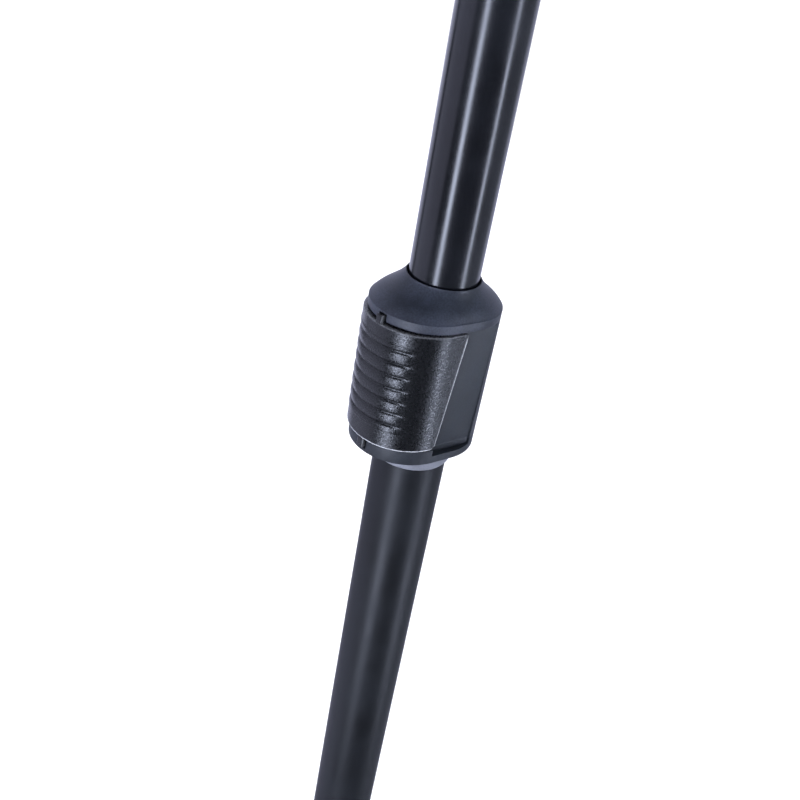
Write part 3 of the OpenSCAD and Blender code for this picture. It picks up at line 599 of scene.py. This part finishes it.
def desk_rivets():
    """Four solid rivets: low domes behind, near-flush heads in front with a fine pressed ring round them."""
    points, faces, count = [], [], 0
    front, rear = -PIVOT_TO_PANEL - SHEET, -PIVOT_TO_PANEL + BRACKET_BASE
    profile = [(0.01, front - 0.22), (1.8, front - 0.2), (2.9, front - 0.13), (3.3, front - 0.02),
               (3.3, front + 0.3), (2.4, front + 0.6), (2.4, rear), (4.0, rear), (4.0, rear + 0.5),
               (3.4, rear + 1.2), (2.2, rear + 1.65), (0.01, rear + 1.8)]
    t = np.linspace(0, 2 * np.pi, 32, endpoint=False)
    r, y = np.array(profile).T
    for cx, cz in RIVETS:
        grid = np.stack([cx + r[:, None] * np.cos(t), y[:, None] + 0 * t, cz + r[:, None] * np.sin(t)], -1)
        points.append(grid.reshape(-1, 3))
        faces += [f + count for f in quads(len(profile), 32, False, True)]
        faces += [np.arange(32) + count, np.arange(32)[::-1] + count + 32 * (len(profile) - 1)]
        count += len(profile) * 32
    piece = add_mesh("rivet_heads", np.concatenate(points), faces, sharp=40)
    piece.data.transform(desk_matrix())
    stands_for(outward(piece), "desk_rivets")


# ---- materials ----

NOISE, CELLS, MATHS = "ShaderNodeTexNoise", "ShaderNodeTexVoronoi", "ShaderNodeMath"
RANGE, BLEND, BUMP = "ShaderNodeMapRange", "ShaderNodeMix", "ShaderNodeBump"
LOW_TO, HIGH_TO, COLOUR_A, COLOUR_B, MIXED = 3, 4, 6, 7, 2


def linear(hex_colour):
    """sRGB hex to linear red, green, blue and alpha 1."""
    parts = [int(hex_colour[i:i + 2], 16) / 255 for i in (1, 3, 5)]
    return [p / 12.92 if p <= 0.04045 else ((p + 0.055) / 1.055) ** 2.4 for p in parts] + [1.0]


def across(size):
    """Scale of a pattern whose repeat is size millimetres."""
    return 1000 / size


def node(tree, kind, settings=(), links=(), out=0, **attributes):
    """One shader node: attributes and input values set, inputs linked from other outputs; gives its output."""
    made = tree.nodes.new(kind)
    for key, value in attributes.items():
        setattr(made, key, value)
    for socket, value in dict(settings).items():
        made.inputs[socket].default_value = value
    for socket, source in dict(links).items():
        tree.links.new(source, made.inputs[socket])
    return made.outputs[out]


def new_material(name, **sockets):
    """A principled material with constant sockets set; returns it, its tree, shader and object coordinates."""
    material = bpy.data.materials.new(name)
    material.use_nodes = True
    tree = material.node_tree
    shader = tree.nodes["Principled BSDF"]
    for key, value in sockets.items():
        shader.inputs[key.replace("_", " ")].default_value = value
    return material, tree, shader, node(tree, "ShaderNodeTexCoord", out="Object")


def feed(tree, shader, **sources):
    """Joins outputs to the shader's sockets, whose names have _ for a space."""
    for key, source in sources.items():
        tree.links.new(source, shader.inputs[key.replace("_", " ")])


def moulded_nylon(name, low, high, rough, grain_mm, depth_mm):
    """Glass-filled nylon from a spark-eroded mould: dull, fine grain, slightly cloudy colour."""
    material, tree, shader, coords = new_material(name, IOR=1.53)
    cloud = node(tree, NOISE, {"Scale": across(9), "Detail": 3}, {"Vector": coords})
    grain = node(tree, NOISE, {"Scale": across(grain_mm), "Detail": 3, "Roughness": 0.65}, {"Vector": coords})
    speck = node(tree, MATHS, (), {0: cloud, 1: grain}, operation="MULTIPLY")
    shade = node(tree, RANGE, {1: 0.15, 2: 0.38}, {0: speck})
    colour = node(tree, BLEND, {COLOUR_A: linear(low), COLOUR_B: linear(high)}, {0: shade}, MIXED,
                  data_type="RGBA")
    dull = node(tree, RANGE, {1: 0.3, 2: 0.7, LOW_TO: rough - 0.05, HIGH_TO: rough + 0.05}, {0: cloud})
    bump = node(tree, BUMP, {"Distance": depth_mm / 1000}, {"Height": grain})
    feed(tree, shader, Base_Color=colour, Roughness=dull, Normal=bump)
    return material


def leather_grain_plastic():
    """Glossy black ABS moulded with a fine leather grain: the gloss breaks into sparks; a painted highlight,
    broken into patches by noise, paints the marked edges pale.
    """
    material, tree, shader, coords = new_material("leather_grain_ABS", IOR=1.54)
    cells = node(tree, CELLS, {"Scale": across(0.62)}, {"Vector": coords}, feature="SMOOTH_F1")
    fine = node(tree, NOISE, {"Scale": across(0.42), "Roughness": 0.6}, {"Vector": coords})
    pebbles = node(tree, MATHS, (), {0: cells, 1: fine}, operation="ADD")
    # Painted highlight: the lever's edges, marked by its point attribute, are blended towards near-white
    # #f2f4f8 in patches.
    edge_highlight_paint = node(tree, "ShaderNodeAttribute", out="Fac", attribute_name="edge_highlight_paint")
    highlight_breakup_noise = node(tree, NOISE, {"Scale": across(1.6), "Detail": 3}, {"Vector": coords})
    patchy = node(tree, RANGE, {1: 0.3, 2: 0.6, LOW_TO: 0.6}, {0: highlight_breakup_noise})
    painted_edge_highlight = node(tree, MATHS, (), {0: edge_highlight_paint, 1: patchy}, operation="MULTIPLY")
    colour = node(tree, BLEND, {COLOUR_A: linear("#090a0c"), COLOUR_B: linear("#f2f4f8")}, {0: painted_edge_highlight}, MIXED,
                  data_type="RGBA")
    gloss = node(tree, RANGE, {1: 0.1, 2: 0.5, LOW_TO: 0.17, HIGH_TO: 0.34}, {0: cells})
    bump = node(tree, BUMP, {"Distance": 0.045 / 1000}, {"Height": pebbles})
    feed(tree, shader, Base_Color=colour, Roughness=gloss, Normal=bump)
    return material


def powder_coat(name, colour, rough, depth_mm, grain_mm=0.9, ior=1.5):
    """Baked polyester powder on steel: even black film with a faint orange peel."""
    material, tree, shader, coords = new_material(name, IOR=ior)
    peel = node(tree, NOISE, {"Scale": across(grain_mm)}, {"Vector": coords})
    smudge = node(tree, NOISE, {"Scale": across(25), "Detail": 4, "Roughness": 0.6}, {"Vector": coords})
    shade = node(tree, RANGE, {1: 0.3, 2: 0.7}, {0: smudge})
    film = node(tree, BLEND, {COLOUR_A: linear(colour), COLOUR_B: linear("#14161a")}, {0: shade}, MIXED,
                data_type="RGBA")
    gloss = node(tree, RANGE, {1: 0.35, 2: 0.7, LOW_TO: rough - 0.03, HIGH_TO: rough + 0.05}, {0: smudge})
    bump = node(tree, BUMP, {"Distance": depth_mm / 1000}, {"Height": peel})
    feed(tree, shader, Base_Color=film, Roughness=gloss, Normal=bump)
    return material


def steel(name, colour, rough, grain_mm=0.12):
    """Bare or blackened steel with fine drawing or grinding marks."""
    material, tree, shader, coords = new_material(name, Metallic=1.0)
    marks = node(tree, NOISE, {"Scale": across(grain_mm), "Detail": 3, "Roughness": 0.7}, {"Vector": coords})
    metal = node(tree, BLEND, {COLOUR_A: linear(colour), COLOUR_B: linear("#6d7176")}, {0: marks}, MIXED,
                 data_type="RGBA")
    gloss = node(tree, RANGE, {1: 0.3, 2: 0.7, LOW_TO: rough - 0.08, HIGH_TO: rough + 0.08}, {0: marks})
    bump = node(tree, BUMP, {"Distance": 0.004 / 1000}, {"Height": marks})
    feed(tree, shader, Base_Color=metal, Roughness=gloss, Normal=bump)
    return material


def rubber():
    """Carbon-black rubber: dull, faintly dusty in random patches."""
    material, tree, shader, coords = new_material("black_rubber", IOR=1.52)
    dust = node(tree, NOISE, {"Scale": across(4), "Detail": 5, "Roughness": 0.6}, {"Vector": coords})
    shade = node(tree, RANGE, {1: 0.45, 2: 0.75}, {0: dust})
    colour = node(tree, BLEND, {COLOUR_A: linear("#101112"), COLOUR_B: linear("#26272a")}, {0: shade}, MIXED,
                  data_type="RGBA")
    dull = node(tree, RANGE, {1: 0.3, 2: 0.7, LOW_TO: 0.6, HIGH_TO: 0.8}, {0: dust})
    skin = node(tree, NOISE, {"Scale": across(0.35)}, {"Vector": coords})
    bump = node(tree, BUMP, {"Distance": 0.02 / 1000}, {"Height": skin})
    feed(tree, shader, Base_Color=colour, Roughness=dull, Normal=bump)
    return material


def fibre():
    """Pale vulcanised fibre: matt, flecked."""
    material, tree, shader, coords = new_material("vulcanised_fibre", IOR=1.5, Roughness=0.75)
    fleck = node(tree, NOISE, {"Scale": across(0.6), "Detail": 4, "Roughness": 0.7}, {"Vector": coords})
    shade = node(tree, RANGE, {1: 0.3, 2: 0.7}, {0: fleck})
    colour = node(tree, BLEND, {COLOUR_A: linear("#b9b2a0"), COLOUR_B: linear("#d6d0c1")}, {0: shade}, MIXED,
                  data_type="RGBA")
    bump = node(tree, BUMP, {"Distance": 0.02 / 1000}, {"Height": fleck})
    feed(tree, shader, Base_Color=colour, Normal=bump)
    return material


MATERIALS = {
    "black_tube": powder_coat("satin_black_powder_coat", "#0b0c0f", 0.22, 0.0003),
    "black_sheet": powder_coat("fine_texture_powder_coat", "#141518", 0.42, 0.02, 0.5),
    "clutch_shell": moulded_nylon("glass_filled_nylon", "#1c2028", "#343843", 0.5, 0.6, 0.035),
    "lever_gloss": leather_grain_plastic(),
    "grey_collar": moulded_nylon("grey_acetal", "#5f6168", "#74767e", 0.45, 0.5, 0.01),
    "nylon": moulded_nylon("black_nylon", "#17181a", "#1e1f22", 0.45, 0.5, 0.006),
    "plate_steel": steel("hardened_plate_steel", "#8d9196", 0.35),
    "spring_steel": steel("drawn_spring_steel", "#7d8288", 0.3),
    "screw_steel": steel("blackened_steel", "#26282b", 0.35),
    "fibre_washer": fibre(),
    "hub_black": moulded_nylon("black_hub_nylon", "#15161a", "#1c1e22", 0.48, 0.35, 0.012),
    "knob_black": moulded_nylon("black_knob_nylon", "#121316", "#191a1e", 0.4, 0.4, 0.01),
    "boot_rubber": rubber(),
}
LOWER_TUBE_COAT = powder_coat("worn_black_powder_coat", "#0c0d10", 0.45, 0.0006, ior=1.38)
DARK_NYLON = moulded_nylon("glass_filled_nylon_dark", "#0d1116", "#1b2027", 0.55, 0.6, 0.035)


# ---- set, camera and lights; lengths here are metres, the camera's place millimetres from the clutch ----

COOL = "#dde6ff"
LILAC = "#d9dcfb"
AIR_STRENGTH = 0.08
FLOOR_HALF = 60.0
DRUM_R, DRUM_TOP = 22, 20
CAMERA_AZIMUTH = 50.0
CAMERA_DISTANCE, CAMERA_HEIGHT = 293.9, 142.2
# pitch down, yaw and roll, degrees
CAMERA_ANGLES = (30.96, -1.42, 10.28)
SENSOR = 36
FOCAL_RATIO = 910.27 / 800
SUN_ENERGY, SUN_ANGLE = 4.2, 60
# name, degrees round from the camera, distance, lowest and highest point, width, power, colour
LAMPS = (
    ("left_strip", -22, 1.0, -0.34, 1.1, 0.18, 15, COOL),
    ("right_strip", 67, 1.0, -0.34, 1.1, 0.09, 8.5, COOL),
    ("left_fill", -84, 1.7, -2.4, 3.0, 2.0, 34, LILAC),
    ("right_fill", 104, 1.7, -2.4, 1.7, 1.8, 9, COOL),
    ("back_left", -152, 2.4, -3.5, 2.5, 2.3, 60, LILAC),
    ("back_right", 156, 2.4, -3.5, 2.5, 2.2, 44, LILAC),
)


def paint(piece, material):
    """Leaves one material on a piece."""
    piece.data.materials.clear()
    piece.data.materials.append(material)


def clutch():
    """The clutch's outside; the lever's tabs move with it and share its finish."""
    clutch_cap()
    stands_for(squeeze_lever(), "squeeze_lever")
    for tab in lever_tabs():
        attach(tab, body_of("squeeze_lever"))
        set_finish(tab, slot_of("squeeze_lever"))
    lever_coils()
    stands_for(softened("clutch_housing", 0.5), "clutch_housing")
    stands_for(softened("clutch_bottom_ring", 0.35), "clutch_bottom_ring")
    stands_for(softened("tube_collar", 0.3), "tube_collar")


def stage():
    """Dim cool air, the backdrop, and a pale floor that neither mirrors in the object nor shades it."""
    world = bpy.data.worlds.new("studio")
    bpy.context.scene.world = world
    world.use_nodes = True
    background = world.node_tree.nodes["Background"]
    background.inputs["Color"].default_value = linear(COOL)
    background.inputs["Strength"].default_value = AIR_STRENGTH
    corners = np.array([[-1, -1, 0], [1, -1, 0], [1, 1, 0], [-1, 1, 0]]) * FLOOR_HALF * 1000
    floor = add_mesh("floor", corners, [np.arange(4)])
    paint(floor, new_material("matt_white_floor", Base_Color=linear("#f4f4f4"), Roughness=0.9)[0])
    floor.visible_glossy = False
    floor.visible_shadow = False
    floor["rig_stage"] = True
    backdrop()


def backdrop():
    """A white drum round the set that hides the horizon; it neither lights the object nor mirrors in it."""
    t = np.linspace(0, 2 * np.pi, 64, endpoint=False)
    outline = ((DRUM_R, -0.5), (DRUM_R, DRUM_TOP), (0.01, DRUM_TOP))
    rings = [np.stack([r * np.cos(t), r * np.sin(t), 0 * t + z], -1) * 1000 for r, z in outline]
    drum = add_mesh("backdrop", np.concatenate(rings), quads(3, 64, False, True)[:, ::-1])
    paint(drum, new_material("white_backdrop", Base_Color=linear("#000000"), Emission_Color=linear("#ffffff"),
                             Emission_Strength=1.0, Roughness=1.0)[0])
    drum.visible_glossy = False
    drum.visible_diffuse = False
    drum.visible_shadow = False
    drum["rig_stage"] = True


def camera():
    """The camera stands to the player's right, a hand above the clutch, rolled a little."""
    pitch, yaw, roll = (math.radians(v) for v in CAMERA_ANGLES)
    turn = math.radians(CAMERA_AZIMUTH)
    spin = Matrix.Rotation(turn, 3, "Z")
    level = Vector((math.sin(yaw) * math.cos(pitch), math.cos(yaw) * math.cos(pitch), -math.sin(pitch)))
    forward = spin @ level
    side = spin @ Vector((math.cos(yaw), -math.sin(yaw), 0))
    up = side.cross(forward)
    right = side * math.cos(roll) + up * math.sin(roll)
    top = up * math.cos(roll) - side * math.sin(roll)
    data = bpy.data.cameras.new("camera")
    data.sensor_width = SENSOR
    data.lens = SENSOR * FOCAL_RATIO
    data.clip_start = 0.01
    eye = bpy.data.objects.new("camera", data)
    place = Vector(CLUTCH) + spin @ Vector((0, -CAMERA_DISTANCE, CAMERA_HEIGHT))
    facing = Matrix((right, top, -forward)).transposed().to_4x4()
    eye.matrix_world = Matrix.Translation(place / 1000) @ facing
    bpy.context.scene.collection.objects.link(eye)
    bpy.context.scene.camera = eye


def strip_light(name, azimuth, distance, low, high, width, power, colour):
    """A tall soft box facing the mast; azimuth is counted round from the camera's own side."""
    data = bpy.data.lights.new(name, "AREA")
    data.shape = "RECTANGLE"
    data.size, data.size_y = width, high - low
    data.energy = power
    data.color = linear(colour)[:3]
    lamp = bpy.data.objects.new(name, data)
    turn = math.radians(CAMERA_AZIMUTH + azimuth)
    out = Vector((math.sin(turn), -math.cos(turn), 0))
    centre = Vector((MAST_X / 1000, MAST_Y / 1000, 0)) + out * distance
    centre.z = (low + high) / 2
    lamp.matrix_world = Matrix.Translation(centre) @ out.to_track_quat("Z", "Y").to_matrix().to_4x4()
    lamp.visible_camera = False
    bpy.context.scene.collection.objects.link(lamp)


def lights():
    """The strip lamps, and a wide soft sun overhead that leaves no highlight."""
    for lamp in LAMPS:
        strip_light(*lamp)
    data = bpy.data.lights.new("overhead", "SUN")
    data.energy = SUN_ENERGY
    data.angle = math.radians(SUN_ANGLE)
    lamp = bpy.data.objects.new("overhead", data)
    lamp.location = (0, 0, 2.6)
    lamp.visible_glossy = False
    bpy.context.scene.collection.objects.link(lamp)


bpy.context.scene.view_settings.view_transform = "Standard"
camera()
stage()
lights()
clutch()
mast_tubes()
leg_tubes()
desk_panel()
desk_rivets()
# node, voxel in millimetres, smoothing passes
MOULDED = (("rear_collar", 0.6, 5), ("left_collar", 0.6, 5), ("right_collar", 0.6, 5), ("rear_boot", 0.7, 8),
           ("left_boot", 0.7, 8), ("right_boot", 0.7, 8), ("head_socket", 0.6, 4), ("tilt_knob", 0.5, 6),
           ("stop_ring", 0.6, 3))
for name, voxel, passes in MOULDED:
    stands_for(moulded(name, voxel, passes), name)
stands_for(softened("desk_bracket", 0.7), "desk_bracket")
DONE = {"clutch_cap", "squeeze_lever", "clutch_housing", "clutch_bottom_ring", "tube_collar", "upper_tube",
        "lower_tube", "rear_leg", "left_leg", "right_leg", "desk_panel", "desk_rivets", "desk_bracket"}
DONE |= {name for name, voxel, passes in MOULDED}
for name in NODES:
    if name not in DONE and "spring" not in name:
        stands_for(softened(name, 0.2), name)

for name, packed in NODES.items():
    paint(packed, MATERIALS[slot_of(name)])
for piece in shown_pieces():
    if piece.get("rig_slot"):
        paint(piece, MATERIALS[piece["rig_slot"]])
    if piece.name == "lower_tube_skin":
        paint(piece, LOWER_TUBE_COAT)
    if piece.name in ("clutch_housing_finish", "clutch_bottom_ring_finish"):
        paint(piece, DARK_NYLON)
